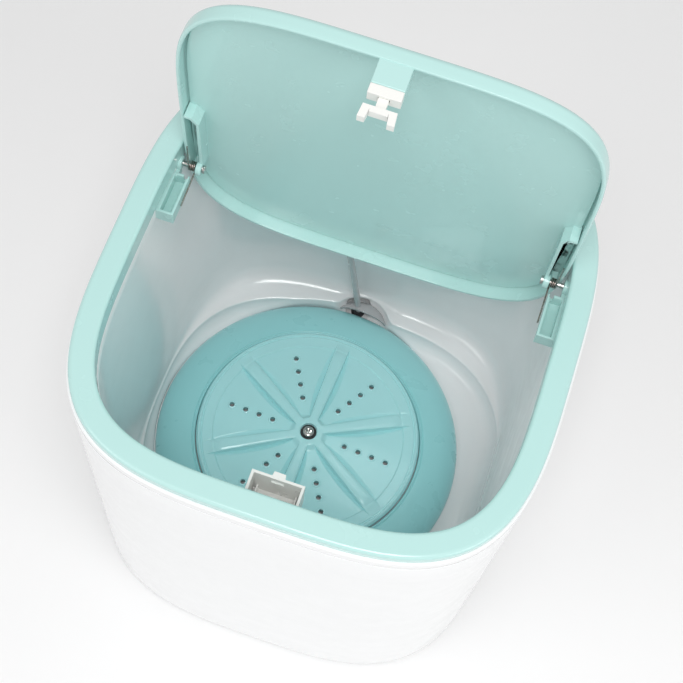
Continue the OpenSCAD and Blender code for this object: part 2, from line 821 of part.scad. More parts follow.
module housing_screws() {
    color(steel) on_axis() for (i = [0:3]) rotate([0, 0, 45 + 90 * i])
        translate([housing_screw_x, 0, mesa_z - tub_wall - 0.2]) mirror([0, 0, 1])
            pan_screw(screw_r - 0.05, small_head_r, small_head_h, 4.4);
}

module bearing(z) {
    color(steel) on_axis() translate([0, 0, z]) tube(bearing_r - 0.02, shaft_r + bearing_gap, bearing_h);
}

module upper_bearing() {
    bearing(upper_bearing_z);
}

module lower_bearing() {
    bearing(lower_bearing_z);
}

module shaft_seal() {
    color(rubber_grey) on_axis() rotate_extrude($fn = fine) polygon([[shaft_r + bearing_gap, mesa_z - tub_wall],
        [seal_r - 0.05, mesa_z - tub_wall], [seal_r - 0.05, mesa_z], [seal_r + 2, mesa_z], [seal_r + 2, mesa_z + 1],
        [seal_r - 3, mesa_z + 2.2], [shaft_r + bearing_gap, mesa_z + 2.2]]);
}

// ---- Drain ----

module drain_stopper() {
    color(clear_grey) difference() {
        intersection() {
            translate([cap_x, cap_y, cap_z]) difference() {
                rotate_extrude($fn = fine) polygon(cap_outline(0));
                translate([0, 0, -eps]) rotate_extrude($fn = fine) polygon(cap_outline(cap_t));
            }
            difference() {
                translate([-40, 60, 30]) cube([80, 60, 40]);
                on_axis() cylinder(r = ring_r + 0.8, h = 80, $fn = 2 * fine);
            }
        }
        rod_pose() translate([0, 0, -20]) cylinder(r = rod_r, h = 40, $fn = fine);
    }
}

function cap_outline(t) = concat([[0, 0]],
    [for (a = [0:9:90]) [(cap_r - t) * pow(cos(a), 0.6), (cap_h - t) * sin(a)]]);

module drain_plug() {
    color(rubber_grey) translate([rod_x, sump_y, sump_z + 0.1]) {
        cylinder(r = drain_hole_r + plug_lip, h = 1.8, $fn = fine);
        translate([0, 0, 1.7]) cylinder(r1 = drain_hole_r + 0.2, r2 = rod_r + 0.6, h = 3, $fn = fine);
    }
}

module lift_rod() {
    color(clear_grey) rod_pose() translate([0, 0, -3]) cylinder(r = rod_r, h = rod_len + 3, $fn = fine);
}

module rod_pull() {
    color(clear_grey) rod_pose() translate([0, 0, rod_len]) {
        rotate_extrude($fn = fine) polygon([[0, 0], [rod_r + 0.6, 0], [rod_r + 1, 2], [rod_r + 2.6, 4],
            [rod_r + 2.6, 6], [rod_r + 1.4, 7.4], [0, 7.4]]);
    }
}

// Clip on the tub's rear wall that the lift rod slides through
module rod_guide() {
    color(white) difference() {
        intersection() {
            rod_pose() translate([-5.5, -5.5, guide_at]) cube([11, 40, 6]);
            linear_extrude(body_h) squircle(tub_w - 0.1, tub_d - 0.1, tub_n);
        }
        rod_pose() cylinder(r = rod_r + bearing_gap, h = rod_len, $fn = fine);
    }
}

module drain_elbow() {
    reach = shell_half_d - 3 - sump_y;
    top = sump_z - tub_wall - gasket_t;
    color(white) translate([rod_x, sump_y, 0]) difference() {
        union() {
            translate([0, 0, elbow_z]) cylinder(r = spout_r, h = top - elbow_z, $fn = fine);
            translate([0, 0, top - 2]) cylinder(r = sump_r + tub_wall, h = 2, $fn = fine);
            translate([0, 0, elbow_z]) rotate([-90, 0, 0]) cylinder(r = spout_r, h = reach, $fn = fine);
            translate([0, 0, elbow_z]) sphere(r = spout_r, $fn = fine);
        }
        translate([0, 0, elbow_z]) cylinder(r = spout_bore_r, h = 40, $fn = fine);
        translate([0, 0, elbow_z]) rotate([-90, 0, 0]) cylinder(r = spout_bore_r, h = 2 * reach, $fn = fine);
        translate([0, 0, elbow_z]) sphere(r = spout_bore_r, $fn = fine);
    }
}

module elbow_gasket() {
    color(rubber_grey) translate([rod_x, sump_y, sump_z - tub_wall - gasket_t])
        tube(sump_r + tub_wall, spout_bore_r, gasket_t);
}

// ---- Electrics ----

module at_board() {
    translate([board_x, board_y, board_z]) children();
}

module board_holes() {
    for (sx = [-1, 1], sy = [-1, 1]) translate([sx * (board_w / 2 - 4), sy * (board_d / 2 - 4), 0]) children();
}

module control_board() {
    color(board_green) at_board() difference() {
        translate([-board_w / 2, -board_d / 2, 0]) cube([board_w, board_d, board_t]);
        board_holes() translate([0, 0, -1]) cylinder(r = screw_r + 0.1, h = 10, $fn = fine);
    }
}

module board_parts() {
    color(dark) at_board() translate([0, 0, board_t]) {
        translate([-14, -8, 0]) cube([15, 12, 11]);
        translate([6, -4, 0]) cube([10, 10, 2]);
        translate([10, 10, 0]) cylinder(r = 3.5, h = 10, $fn = fine);
        translate([0, 10, 0]) cylinder(r = 2.6, h = 8, $fn = fine);
        translate([17.5, -6, 0]) cube([7, 8, 6]);
    }
}

module board_screws() {
    color(brass) at_board() board_holes() translate([0, 0, board_t - 6])
        pan_screw(screw_r, small_head_r, small_head_h, 6);
}

module dc_inlet() {
    seat = rear_face(abs(inlet_x) - inlet_r - inlet_flange) + inlet_gap;
    color(dark) translate([inlet_x, seat, rear_z]) rotate([90, 0, 0]) {
        difference() {
            union() {
                translate([0, 0, -inlet_lip]) cylinder(r = inlet_r + inlet_flange, h = inlet_lip, $fn = fine);
                cylinder(r = inlet_r, h = 14, $fn = fine);
            }
            translate([0, 0, -inlet_lip - 1]) cylinder(r = inlet_bore_r, h = 11, $fn = fine);
        }
        cylinder(r = inlet_pin_r, h = 10, $fn = fine);
    }
}

module power_button() {
    color(mint) translate([button_x, rear_face(button_x), rear_z]) rotate([90, 0, 0]) {
        rotate_extrude($fn = fine) polygon([[0, -button_proud], [button_r - 1.2, -button_proud],
            [button_r, 1.2 - button_proud], [button_r, 4], [button_r + 1.2, 4], [button_r + 1.2, 5.2], [0, 5.2]]);
        cylinder(r = 1.8, h = 9, $fn = fine);
    }
}

module button_switch() {
    color(dark) translate([button_x, rear_face(button_x) - 17, rear_z]) rotate([-90, 0, 0]) difference() {
        translate([-6, -6, 0]) cube([12, 12, 8]);
        translate([0, 0, 2]) cylinder(r = 1.9, h = 10, $fn = fine);
    }
}

module button_spring() {
    color(steel) translate([button_x, rear_face(button_x) - 8.8, rear_z]) rotate([-90, 0, 0])
        wire(coil(3, 0.85, 4, 16), [0, 0, 1], 0.25);
}

module status_lens() {
    color(clear_grey) translate([lens_x, rear_face(lens_x), rear_z]) rotate([90, 0, 0]) {
        translate([0, 0, -0.4]) cylinder(r1 = lens_r * 0.6, r2 = lens_r, h = 0.4, $fn = fine);
        cylinder(r = lens_r, h = 8, $fn = fine);
    }
}

outer_shell();
base_plate();
feet();
base_screws();
tub();
tub_gasket();
rim_frame();
catch_pocket();
lid_cover();
lid_liner();
latch_bracket();
latch_housing();
latch_spring();
latch_fork();
hinge_pin_left();
hinge_pin_right();
hinge_spring_left();
hinge_spring_right();
pulsator();
pulsator_washer();
pulsator_screw();
pulsator_ring();
drive_shaft();
driven_pulley();
drive_belt();
motor_pulley();
motor_shaft();
motor_body();
motor_bracket();
motor_screws();
bearing_housing();
housing_screws();
upper_bearing();
lower_bearing();
shaft_seal();
drain_stopper();
drain_plug();
lift_rod();
rod_pull();
rod_guide();
drain_elbow();
elbow_gasket();
control_board();
board_parts();
board_screws();
dc_inlet();
power_button();
button_switch();
button_spring();
status_lens();
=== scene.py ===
"""Looks of the portable mini washer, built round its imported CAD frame."""

import json
import math

import bmesh
import bpy
from mathutils import Matrix, Vector


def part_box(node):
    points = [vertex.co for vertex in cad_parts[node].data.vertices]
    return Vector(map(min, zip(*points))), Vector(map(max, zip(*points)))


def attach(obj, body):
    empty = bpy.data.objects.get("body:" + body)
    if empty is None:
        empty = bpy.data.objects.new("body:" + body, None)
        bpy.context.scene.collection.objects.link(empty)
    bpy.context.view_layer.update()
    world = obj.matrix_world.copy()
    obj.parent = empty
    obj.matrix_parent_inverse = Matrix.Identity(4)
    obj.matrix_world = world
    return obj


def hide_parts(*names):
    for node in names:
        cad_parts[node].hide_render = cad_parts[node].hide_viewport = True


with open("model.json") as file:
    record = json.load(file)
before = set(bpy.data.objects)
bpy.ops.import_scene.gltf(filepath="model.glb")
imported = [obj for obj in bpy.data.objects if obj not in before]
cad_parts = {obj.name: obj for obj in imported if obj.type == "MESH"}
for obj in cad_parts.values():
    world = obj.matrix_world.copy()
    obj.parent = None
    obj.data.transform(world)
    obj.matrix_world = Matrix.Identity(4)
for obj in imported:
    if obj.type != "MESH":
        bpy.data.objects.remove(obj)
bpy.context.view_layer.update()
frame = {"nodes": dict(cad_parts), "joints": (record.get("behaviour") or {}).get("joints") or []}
nodes = frame["nodes"]

# Shapes are built in millimetres and scaled to metres when a piece is made.
MM = 0.001
RING_POINTS = 192
LATHE_STEPS = 128


def span(node):
    """Lowest and highest corner of a CAD node, in millimetres."""
    low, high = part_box(node)
    return low / MM, high / MM


# ---- Sizes taken from the frame ----

SHELL_LOW, SHELL_HIGH = span("outer_shell")
RIM_HIGH = span("rim_frame")[1]
LID_HIGH = span("lid_cover")[1]
GASKET_LOW, GASKET_HIGH = span("tub_gasket")
RING_LOW, RING_HIGH = span("pulsator_ring")
DISC_LOW, DISC_HIGH = span("pulsator")
AXIS_X = (RING_LOW.x + RING_HIGH.x) / 2
HINGE = next(j for j in frame["joints"] if j["name"] == "lid_hinge")
HINGE_Y = HINGE["pos_m"][1] / MM
HINGE_Z = HINGE["pos_m"][2] / MM

# ---- Design sizes ----

SHELL_DRAFT = 0.8
SHELL_WALL = 2.5
SHELL_EDGE = (10, 13)
RIM_EXPONENT = 3.55
MOUTH_EXPONENT = 3.9
RIM_FACE = 14.2
MOUTH_W = RIM_HIGH.x - RIM_FACE
MOUTH_D = RIM_HIGH.y - RIM_FACE
RIM_BOTTOM = RIM_HIGH.z - 14
TUB_W = MOUTH_W + 0.7
TUB_D = MOUTH_D + 0.7
TUB_EXPONENT = 3.7
TUB_TOP = GASKET_LOW.z
TUB_FLOOR = 40
TUB_WALL = 2
WELL_X = 2
WELL_W = 117
WELL_D = 101
WELL_EXPONENT = 2.7
SHELF_Z = 51
MESA_R = 82
MESA_Z = 50
CAP_X, CAP_Y, CAP_R = -2.5, 94, 19.5
SUMP = (-7, 108.5)
DRAIN_R = 4.2
LID_W = LID_HIGH.x
LID_D = 112.8
LID_Y = 2
LID_EXPONENT = 4.3
LID_EDGE = HINGE_Z + 2.2
LID_TOP = LID_EDGE + 10.6
LID_SKIN = 1.6
LID_SKIRT = 2.2
LINER_INSET = 3.05
LID_OPEN = math.radians(86)
LINER_Z = LID_TOP - 3
LATCH_Y0, LATCH_Y1 = -110.2, -103.4
LATCH_Y = (LATCH_Y0 + LATCH_Y1) / 2
DISC_R = 75.3
DISH_Z = 60
HUB_R = 9
HUB_Z = 64
RIBS = 6
RIB_ANGLE = math.radians(148)
HOLE_ANGLE = math.radians(177.5)
HOLE_ROWS = (25.9, 35.8, 45.6, 55.5)
HOLE_R = 1.75
REAR_Z = 24
BUTTON_X, INLET_X, LIGHT_X = 40, -50, 58
OUTLET_Z = 21

LID_POSE = (Matrix.Translation((0, HINGE_Y, HINGE_Z)) @ Matrix.Rotation(-LID_OPEN, 4, "X")
            @ Matrix.Translation((0, -HINGE_Y, -HINGE_Z)))


# ---- Outlines ----

def reach(angle, a, b, n):
    """Distance from the middle to a squircle's edge, in a direction."""
    return (abs(math.cos(angle) / a) ** n + abs(math.sin(angle) / b) ** n) ** (-1 / n)


def squircle(a, b, n, z=0.0, x=0.0, y=0.0, count=RING_POINTS):
    """A level ring of points round a squircle."""
    ring = []
    for i in range(count):
        angle = 2 * math.pi * i / count
        r = reach(angle, a, b, n)
        ring.append(Vector((x + r * math.cos(angle), y + r * math.sin(angle), z)))
    return ring


def arc(cx, cz, rx, rz, start, end, steps=8):
    """Points (x, z) on an elliptic arc, angles in degrees."""
    points = []
    for i in range(steps + 1):
        angle = math.radians(start + (end - start) * i / steps)
        points.append((cx + rx * math.cos(angle), cz + rz * math.sin(angle)))
    return points


def smooth(edge0, edge1, x):
    t = min(1.0, max(0.0, (x - edge0) / (edge1 - edge0)))
    return t * t * (3 - 2 * t)


def mix(a, b, t):
    return a + (b - a) * t


# ---- Mesh tools ----

def to_mesh(bm):
    bmesh.ops.recalc_face_normals(bm, faces=bm.faces)
    mesh = bpy.data.meshes.new("shape")
    bm.to_mesh(mesh)
    bm.free()
    return mesh


def skin(rings, loop=False, start=False, end=False):
    """Quads between rings of the same count.

    loop joins the last ring to the first, and start and end each close a ring.
    """
    bm = bmesh.new()
    rows = [[bm.verts.new(p) for p in ring] for ring in rings]
    pairs = list(zip(rows, rows[1:]))
    if loop:
        pairs.append((rows[-1], rows[0]))
    count = len(rows[0])
    for low, high in pairs:
        for i in range(count):
            j = (i + 1) % count
            bm.faces.new((low[i], low[j], high[j], high[i]))
    if start:
        bm.faces.new(reversed(rows[0]))
    if end:
        bm.faces.new(rows[-1])
    return to_mesh(bm)


def lathe(profile, x=0.0, y=0.0, steps=LATHE_STEPS, loop=False):
    """Turns (radius, z) points about an upright axis. A radius of 0 at an end becomes one point."""
    bm = bmesh.new()
    rows = []
    for r, z in profile:
        if r < 1e-6:
            rows.append([bm.verts.new((x, y, z))])
            continue
        angles = [2 * math.pi * i / steps for i in range(steps)]
        rows.append([bm.verts.new((x + r * math.cos(a), y + r * math.sin(a), z)) for a in angles])
    pairs = list(zip(rows, rows[1:]))
    if loop:
        pairs.append((rows[-1], rows[0]))
    for low, high in pairs:
        for i in range(steps):
            j = (i + 1) % steps
            corners = [low[i % len(low)], low[j % len(low)], high[j % len(high)], high[i % len(high)]]
            unique = list(dict.fromkeys(corners))
            if len(unique) > 2:
                bm.faces.new(unique)
    return to_mesh(bm)


def box(x0, x1, y0, y1, z0, z1):
    return prism([(x0, y0), (x1, y0), (x1, y1), (x0, y1)], z0, z1)


def prism(points, z0, z1):
    """An upright prism over an outline."""
    bm = bmesh.new()
    low = [bm.verts.new((x, y, z0)) for x, y in points]
    high = [bm.verts.new((x, y, z1)) for x, y in points]
    bm.faces.new(reversed(low))
    bm.faces.new(high)
    for i in range(len(points)):
        j = (i + 1) % len(points)
        bm.faces.new((low[i], low[j], high[j], high[i]))
    return to_mesh(bm)


def moved(mesh, matrix):
    mesh.transform(matrix)
    return mesh


def mirrored(mesh):
    """The same shape on the other side of the middle."""
    copy = mesh.copy()
    copy.transform(Matrix.Scale(-1, 4, (1, 0, 0)))
    copy.flip_normals()
    return copy


def joined(*meshes):
    """Several shapes as one mesh, without merging their surfaces."""
    bm = bmesh.new()
    for mesh in meshes:
        bm.from_mesh(mesh)
    mesh = bpy.data.meshes.new("shape")
    bm.to_mesh(mesh)
    bm.free()
    return mesh


ALONG_X = Matrix.Rotation(math.radians(90), 4, "Y")


def rod(x0, x1, y, z, r, steps=48, ease=0.0):
    """A round bar along X, with its ends eased."""
    length = x1 - x0
    profile = [(0, 0), (r - ease, 0), (r, ease), (r, length - ease), (r - ease, length), (0, length)]
    if ease == 0:
        profile = [(0, 0), (r, 0), (r, length), (0, length)]
    return moved(lathe(profile, steps=steps), Matrix.Translation((x0, y, z)) @ ALONG_X)


def with_modifiers(mesh, add):
    """The mesh after the modifiers that add puts on a carrier object."""
    carrier = bpy.data.objects.new("carrier", mesh)
    bpy.context.scene.collection.objects.link(carrier)
    tools = add(carrier) or []
    graph = bpy.context.evaluated_depsgraph_get()
    result = bpy.data.meshes.new_from_object(carrier.evaluated_get(graph), preserve_all_data_layers=True,
                                             depsgraph=graph)
    for o in [carrier, *tools]:
        bpy.data.objects.remove(o)
    return result


def carve(mesh, add=(), cut=()):
    """Joins the shapes in add to a solid and takes away those in cut."""
    def put(carrier):
        tools = []
        for operation, shapes in (("UNION", add), ("DIFFERENCE", cut)):
            for shape in shapes:
                tool = bpy.data.objects.new("tool", shape)
                bpy.context.scene.collection.objects.link(tool)
                tool.hide_render = True
                modifier = carrier.modifiers.new("carve", "BOOLEAN")
                modifier.operation = operation
                modifier.solver = "EXACT"
                modifier.object = tool
                tools.append(tool)
        return tools
    return with_modifiers(mesh, put)


def softened(mesh, width=0.4, segments=3, angle=35):
    """Rounds the edges sharper than an angle."""
    def put(carrier):
        modifier = carrier.modifiers.new("round", "BEVEL")
        modifier.width = width
        modifier.segments = segments
        modifier.limit_method = "ANGLE"
        modifier.angle_limit = math.radians(angle)
        modifier.miter_outer = "MITER_ARC"
        modifier.use_clamp_overlap = True
    return with_modifiers(mesh, put)


def evened(mesh):
    """Normals weighted by face area, so that large flat faces stay flat."""
    def put(carrier):
        modifier = carrier.modifiers.new("even", "WEIGHTED_NORMAL")
        modifier.keep_sharp = True
        modifier.weight = 100
    return with_modifiers(mesh, put)


def sweep(path, radius, sides=12):
    """A round wire along a path, with its rings carried along without twisting."""
    rings = []
    normal = None
    for i, point in enumerate(path):
        ahead = path[min(i + 1, len(path) - 1)] - path[max(i - 1, 0)]
        direction = ahead.normalized()
        if normal is None:
            normal = direction.orthogonal().normalized()
        normal = (normal - direction * normal.dot(direction)).normalized()
        side = direction.cross(normal)
        ring = []
        for k in range(sides):
            a = 2 * math.pi * k / sides
            ring.append(point + (normal * math.cos(a) + side * math.sin(a)) * radius)
        rings.append(ring)
    return skin(rings, start=True, end=True)


def piece(name, mesh, material, body, replaces=(), sharp=40, flat_even=False):
    """Puts a finished shape in the scene, in metres, on its body."""
    mesh.transform(Matrix.Scale(MM, 4))
    mesh.shade_smooth()
    mesh.set_sharp_from_angle(angle=math.radians(sharp))
    if flat_even:
        mesh = evened(mesh)
    mesh.name = name
    mesh.materials.clear()
    mesh.materials.append(material)
    obj = bpy.data.objects.new(name, mesh)
    bpy.context.scene.collection.objects.link(obj)
    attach(obj, body)
    if replaces:
        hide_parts(*replaces)
    return obj


# ---- Materials ----

class Nodes:
    """Short calls for one material's node tree."""

    def __init__(self, name):
        self.material = bpy.data.materials.new(name)
        self.material.use_nodes = True
        self.tree = self.material.node_tree
        self.shader = self.tree.nodes["Principled BSDF"]
        self.place = self.make("ShaderNodeTexCoord").outputs["Object"]

    def make(self, kind, **inputs):
        node = self.tree.nodes.new(kind)
        for key, value in inputs.items():
            node.inputs[key.replace("_", " ")].default_value = value
        return node

    def link(self, source, target):
        self.tree.links.new(source, target)

    def noise(self, scale, detail=3.0, roughness=0.55):
        node = self.make("ShaderNodeTexNoise", Scale=scale, Detail=detail, Roughness=roughness)
        self.link(self.place, node.inputs["Vector"])
        return node.outputs["Fac"]

    def spread(self, source, low, high, start=0.3, end=0.7):
        """Maps a noise value to a range."""
        node = self.make("ShaderNodeMapRange")
        node.inputs["From Min"].default_value = start
        node.inputs["From Max"].default_value = end
        node.inputs["To Min"].default_value = low
        node.inputs["To Max"].default_value = high
        self.link(source, node.inputs["Value"])
        return node.outputs["Result"]

    def colours(self, source, first, second):
        node = self.tree.nodes.new("ShaderNodeMix")
        node.data_type = "RGBA"
        colour_in = [s for s in node.inputs if s.type == "RGBA"]
        colour_in[0].default_value = (*first, 1)
        colour_in[1].default_value = (*second, 1)
        self.link(source, node.inputs["Factor"])
        return [s for s in node.outputs if s.type == "RGBA"][0]

    def bump(self, source, strength, distance):
        node = self.make("ShaderNodeBump", Strength=strength, Distance=distance)
        self.link(source, node.inputs["Height"])
        self.link(node.outputs["Normal"], self.shader.inputs["Normal"])

    def set(self, **inputs):
        for key, value in inputs.items():
            self.shader.inputs[key.replace("_", " ")].default_value = value


def shifted(colour, amount):
    return tuple(max(0.0, min(1.0, c + amount * (1 if amount < 0 else 1 - c))) for c in colour)


def plastic(name, colour, rough=0.22, variation=0.03, grain=0.12, grain_scale=900.0, coat=0.35, coat_rough=0.08,
            scatter=0.0):
    """Moulded plastic: faint flow marks in the colour, uneven gloss and a fine moulded surface."""
    n = Nodes(name)
    flow = n.noise(14.0, detail=2.0)
    n.link(n.colours(n.spread(flow, 0, 1), shifted(colour, -variation * max(colour)), shifted(colour, variation)),
           n.shader.inputs["Base Color"])
    n.link(n.spread(n.noise(55.0), rough * 0.85, rough * 1.2), n.shader.inputs["Roughness"])
    n.bump(n.noise(grain_scale, detail=2.0), grain, 0.00003)
    n.set(IOR=1.49, Coat_Weight=coat, Coat_Roughness=coat_rough, Coat_IOR=1.5)
    if scatter:
        n.set(Subsurface_Weight=scatter, Subsurface_Radius=(0.004, 0.006, 0.006), Subsurface_Scale=0.6)
    return n.material


def clear_plastic(name, colour, rough):
    """Frosted see-through plastic."""
    n = Nodes(name)
    haze = n.spread(n.noise(120.0), 0, 1)
    n.link(n.colours(haze, shifted(colour, -0.05), shifted(colour, 0.1)), n.shader.inputs["Base Color"])
    n.link(n.spread(n.noise(300.0), rough * 0.8, rough * 1.25), n.shader.inputs["Roughness"])
    n.bump(n.noise(500.0), 0.15, 0.00003)
    n.set(IOR=1.46, Transmission_Weight=0.3, Coat_Weight=0.2)
    return n.material


def metal(name, colour, rough, stretch=(1, 1, 1), scale=900.0):
    """Steel with fine drawing marks along one axis and faint staining."""
    n = Nodes(name)
    mapping = n.tree.nodes.new("ShaderNodeMapping")
    mapping.inputs["Scale"].default_value = stretch
    n.link(n.place, mapping.inputs["Vector"])
    marks = n.make("ShaderNodeTexNoise", Scale=scale, Detail=4.0)
    n.link(mapping.outputs["Vector"], marks.inputs["Vector"])
    stain = n.noise(160.0)
    n.link(n.colours(n.spread(stain, 0, 1), shifted(colour, -0.12), shifted(colour, 0.08)),
           n.shader.inputs["Base Color"])
    n.link(n.spread(marks.outputs["Fac"], rough * 0.7, rough * 1.4), n.shader.inputs["Roughness"])
    n.bump(marks.outputs["Fac"], 0.15, 0.00002)
    n.set(Metallic=1.0)
    return n.material


def rubber(name, colour):
    n = Nodes(name)
    dust = n.spread(n.noise(70.0, detail=5.0), 0, 1, 0.4, 0.8)
    n.link(n.colours(dust, colour, shifted(colour, 0.06)), n.shader.inputs["Base Color"])
    n.link(n.spread(n.noise(400.0), 0.62, 0.85), n.shader.inputs["Roughness"])
    n.bump(n.noise(1400.0), 0.35, 0.00006)
    n.set(Specular_IOR_Level=0.35)
    return n.material


SHELL_WHITE = plastic("gloss_white_shell", (0.93, 0.94, 0.945), rough=0.20, variation=0.008)
TUB_WHITE = plastic("gloss_white_tub", (0.92, 0.92, 0.925), rough=0.16, variation=0.008)
MINT = plastic("mint_gloss", (0.50, 0.76, 0.73), rough=0.24, variation=0.006)
LATCH_WHITE = plastic("latch_white", (0.88, 0.88, 0.85), rough=0.32, variation=0.015, coat=0.15)
TURQUOISE = plastic("turquoise_ring", (0.37, 0.76, 0.78), rough=0.30, variation=0.01, coat=0.2)
AQUA = plastic("aqua_pulsator", (0.50, 0.88, 0.90), rough=0.22, variation=0.01)
CLEAR = clear_plastic("clear_grey_plastic", (0.72, 0.72, 0.73), 0.22)
LENS = clear_plastic("clear_lens", (0.75, 0.80, 0.78), 0.12)
RUBBER = rubber("dark_rubber", (0.03, 0.03, 0.033))
FOOT_RUBBER = rubber("foot_rubber", (0.16, 0.165, 0.17))
CHROME = metal("polished_steel", (0.62, 0.60, 0.58), 0.14)
SPRING = metal("spring_wire", (0.42, 0.36, 0.33), 0.22, stretch=(0.2, 1, 1))
ZINC = metal("zinc_steel", (0.55, 0.56, 0.58), 0.38)
DARK = plastic("dark_moulding", (0.02, 0.021, 0.023), rough=0.45, variation=0.01, coat=0.0)
BOARD = plastic("green_board", (0.012, 0.09, 0.04), rough=0.35, variation=0.02)
BRASS = metal("brass_screws", (0.60, 0.42, 0.17), 0.28)


# ---- Shell and base ----

def shell_ring(z, inset):
    share = z / SHELL_HIGH.z
    a = SHELL_HIGH.x - SHELL_DRAFT * (1 - share) - inset
    b = SHELL_HIGH.y - (SHELL_DRAFT + 2) * (1 - share) - inset
    return squircle(a, b, mix(3.2, 3.5, share), z)


def rear_face(x):
    """How far back the shell's rear face stands at the height of the rear fittings."""
    share = REAR_Z / SHELL_HIGH.z
    a = SHELL_HIGH.x - SHELL_DRAFT * (1 - share)
    b = SHELL_HIGH.y - (SHELL_DRAFT + 2) * (1 - share)
    return b * (1 - (abs(x) / a) ** 3.2) ** (1 / 3.2)


def rear_lathe(x, z, profile, steps=64):
    """Turns (radius, depth) points about an axis that runs from the rear face inwards."""
    place = Matrix.Translation((x, rear_face(x), z)) @ Matrix.Rotation(math.radians(90), 4, "X")
    return moved(lathe(profile, steps=steps), place)


def ring_profile(r_in, r_out, low, high, ease=0.3):
    """A ring's cross-section with eased corners, for a closed lathe."""
    return [(r_in, low + ease), (r_in + ease, low), (r_out - ease, low), (r_out, low + ease),
            (r_out, high - ease), (r_out - ease, high), (r_in + ease, high), (r_in, high - ease)]


def plug(x, z, r):
    """A bar through the rear wall, for cutting a round hole."""
    return rear_lathe(x, z, [(0, -12), (r, -12), (r, 14), (0, 14)])


def make_shell():
    edge_x, edge_z = SHELL_EDGE
    low, top = SHELL_LOW.z, SHELL_HIGH.z
    groove = top - 8.5
    bead = 1.2
    outside = [(low + edge_z - z, edge_x - x) for x, z in arc(0, 0, edge_x, edge_z, 90, 0, 10)]
    wall = [(mix(low + edge_z, groove - 0.8, (i + 1) / 9), 0) for i in range(9)]
    cut = [(groove - 0.4, 0.12), (groove, 0.5), (groove + 0.5, 0.5), (groove + 0.9, 0.1), (groove + 1.3, 0)]
    lip = [(top - bead + z, bead - x) for x, z in arc(0, 0, bead, bead, 0, 90, 5)]
    inner_lip = [(top - 0.1, SHELL_WALL - 0.5), (top - 0.5, SHELL_WALL)]
    inner = [(mix(top - 2, low + edge_z, i / 6), SHELL_WALL) for i in range(7)]
    inner += [(low + 5, SHELL_WALL + 2.6), (low + 2, SHELL_WALL + 5.6), (low, SHELL_WALL + 9.6)]
    rings = [shell_ring(z, inset) for z, inset in outside + wall + cut + lip + inner_lip + inner]
    body = skin(rings, loop=True)
    holes = [plug(BUTTON_X, REAR_Z, 7.4), plug(INLET_X, REAR_Z, 5.3), plug(LIGHT_X, REAR_Z, 2.1),
             plug(SUMP[0], OUTLET_Z, 9.2)]
    body = carve(body, cut=holes)
    return piece("shell_body", body, SHELL_WHITE, "cabinet", ["outer_shell"])


def make_base():
    low = SHELL_LOW.z
    a, b = SHELL_HIGH.x - 14.8, SHELL_HIGH.y - 16.8
    plate = skin([squircle(a - 0.8, b - 0.8, 3.2, low), squircle(a, b, 3.2, low + 0.7),
                  squircle(a, b, 3.2, low + 2.9)],
                 start=True, end=True)
    cuts = []
    for i in range(10):
        angle = 2 * math.pi * i / 10
        x, y = AXIS_X + 45 * math.cos(angle), 45 * math.sin(angle)
        cuts.append(lathe([(0, -1), (3, -1), (3, 9), (0, 9)], x, y, 32))
    for sx in (-1, 1):
        for sy in (-1, 1):
            cuts.append(lathe([(0, -1), (1.8, -1), (1.8, 9), (0, 9)], 62 * sx, 104 * sy, 32))
            cuts.append(lathe([(0, 1), (4.2, 1), (4.2, low + 0.9), (0, low + 0.9)], 62 * sx, 104 * sy, 32))
    grooves = [lathe([(r, low - 1), (r + 1.2, low - 1), (r + 1.2, low + 0.6), (r, low + 0.6)], AXIS_X, 0, loop=True)
               for r in (28, 62)]
    plate = carve(plate, cut=cuts + grooves)
    return piece("base_cover", plate, SHELL_WHITE, "cabinet", ["base_plate"], flat_even=True)


def make_feet():
    high = SHELL_LOW.z
    shapes = []
    for sx in (-1, 1):
        for sy in (-1, 1):
            profile = [(0, 0.7), (5.6, 0.7), (6.2, 0.1), (6.8, 0), (8.2, 0), (9, 0.8), (8.7, high), (0, high)]
            shapes.append(lathe(profile, 88 * sx, 90 * sy, 64))
    return piece("rubber_feet", joined(*shapes), FOOT_RUBBER, "cabinet", ["feet"])


# ---- Tub ----

def ring_edge(angle):
    """Distance from the tub's middle to the outside of the pulsator's ring."""
    side = AXIS_X * math.sin(angle)
    return AXIS_X * math.cos(angle) + math.sqrt((RING_HIGH.x - AXIS_X) ** 2 - side ** 2)


def ridge_reach(angle):
    """Distance to the edge of the tub's floor well, with the bay that the drain cap sits in."""
    well = reach(angle, WELL_W, WELL_D, WELL_EXPONENT) + WELL_X * math.cos(angle)
    to_cap = math.hypot(CAP_X, CAP_Y)
    turn = angle - math.atan2(CAP_Y, CAP_X)
    room = (CAP_R + 1.6) ** 2 - (to_cap * math.sin(turn)) ** 2
    if room > 0 and math.cos(turn) > 0:
        bay = to_cap * math.cos(turn) + math.sqrt(room)
        well = (well ** 40 + bay ** 40) ** (1 / 40)
    well = max(well, ring_edge(angle) + 1.6)
    return min(well, reach(angle, TUB_W, TUB_D, TUB_EXPONENT) - 1.4)


def tub_ring(step, z, shelf=0.0, gap=0.8):
    """A ring round the tub.

    step is measured from the ridge outwards, and shelf goes from the ridge (0) to the wall (1).

    It stays clear of the pulsator's ring by gap."""
    ring = []
    for i in range(RING_POINTS):
        angle = 2 * math.pi * i / RING_POINTS
        ridge = ridge_reach(angle)
        wall = reach(angle, TUB_W, TUB_D, TUB_EXPONENT)
        r = max(mix(ridge, wall, shelf) + step, ring_edge(angle) + gap)
        ring.append(Vector((r * math.cos(angle), r * math.sin(angle), z)))
    return ring


def round_ring(r, z):
    return [Vector((AXIS_X + r * math.cos(a), r * math.sin(a), z))
            for a in (2 * math.pi * i / RING_POINTS for i in range(RING_POINTS))]


